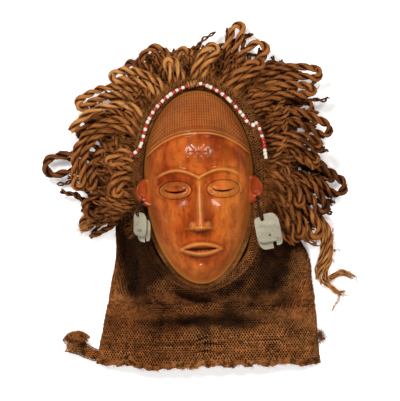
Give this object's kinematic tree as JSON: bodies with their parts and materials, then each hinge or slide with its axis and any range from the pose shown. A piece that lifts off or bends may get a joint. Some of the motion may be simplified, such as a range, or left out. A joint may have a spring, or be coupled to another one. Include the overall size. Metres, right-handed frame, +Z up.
{
  "type": "chokwe mask",
  "caption": "Carved wooden face mask with a netted fibre hood and cape, a wig of looped bast cords, a bead string and plate ear pendants, lying on its back.",
  "frame": {"origin": "middle of the part's plan, on the ground that the back of the hood lies on", "axes": "+X to the viewer's right, +Y from the hem to the crown, +Z up out of the face"},
  "size_m": [0.3809, 0.4161, 0.1457],
  "materials": {
    "polished_wood": "hand-polished, orange to red brown",
    "netted_fibre": "looped plant-fibre cloth, dull brown",
    "bast_cord": "twisted bast cord, golden to red brown",
    "glass_beads": "small white and red beads, half gloss",
    "pale_plate": "pale shell-like plate, half gloss",
    "pendant_cord": "dark twisted cord"
  },
  "bodies": {
    "root": {"wooden_face": "polished_wood", "fibre_hood": "netted_fibre", "hair_lock_01": "bast_cord", "hair_lock_02": "bast_cord", "hair_lock_03": "bast_cord", "hair_lock_04": "bast_cord", "hair_lock_05": "bast_cord", "hair_lock_06": "bast_cord", "hair_lock_07": "bast_cord", "hair_lock_08": "bast_cord", "hair_lock_09": "bast_cord", "hair_lock_10": "bast_cord", "hair_lock_11": "bast_cord", "hair_lock_12": "bast_cord", "hair_lock_13": "bast_cord", "hair_lock_14": "bast_cord", "hair_lock_15": "bast_cord", "hair_lock_16": "bast_cord", "hair_lock_17": "bast_cord", "hair_lock_18": "bast_cord", "hair_lock_19": "bast_cord", "hair_lock_20": "bast_cord", "hair_lock_21": "bast_cord", "hair_lock_22": "bast_cord", "hair_lock_23": "bast_cord", "hair_lock_24": "bast_cord", "hair_lock_25": "bast_cord", "hair_lock_26": "bast_cord", "hair_lock_27": "bast_cord", "hair_lock_28": "bast_cord", "hair_lock_29": "bast_cord", "hair_lock_30": "bast_cord", "hair_lock_31": "bast_cord", "hair_lock_32": "bast_cord", "hair_lock_33": "bast_cord", "hair_lock_34": "bast_cord", "hair_lock_35": "bast_cord", "hair_lock_36": "bast_cord", "hair_lock_37": "bast_cord", "hair_lock_38": "bast_cord", "hair_lock_39": "bast_cord", "hair_trailing_cord": "bast_cord", "bead_string": "glass_beads", "pendant_left_front": "pale_plate", "pendant_left_back": "pale_plate", "pendant_cord_left": "pendant_cord", "pendant_right_front": "pale_plate", "pendant_right_back": "pale_plate", "pendant_cord_right": "pendant_cord"}
  },
  "joints": []
}
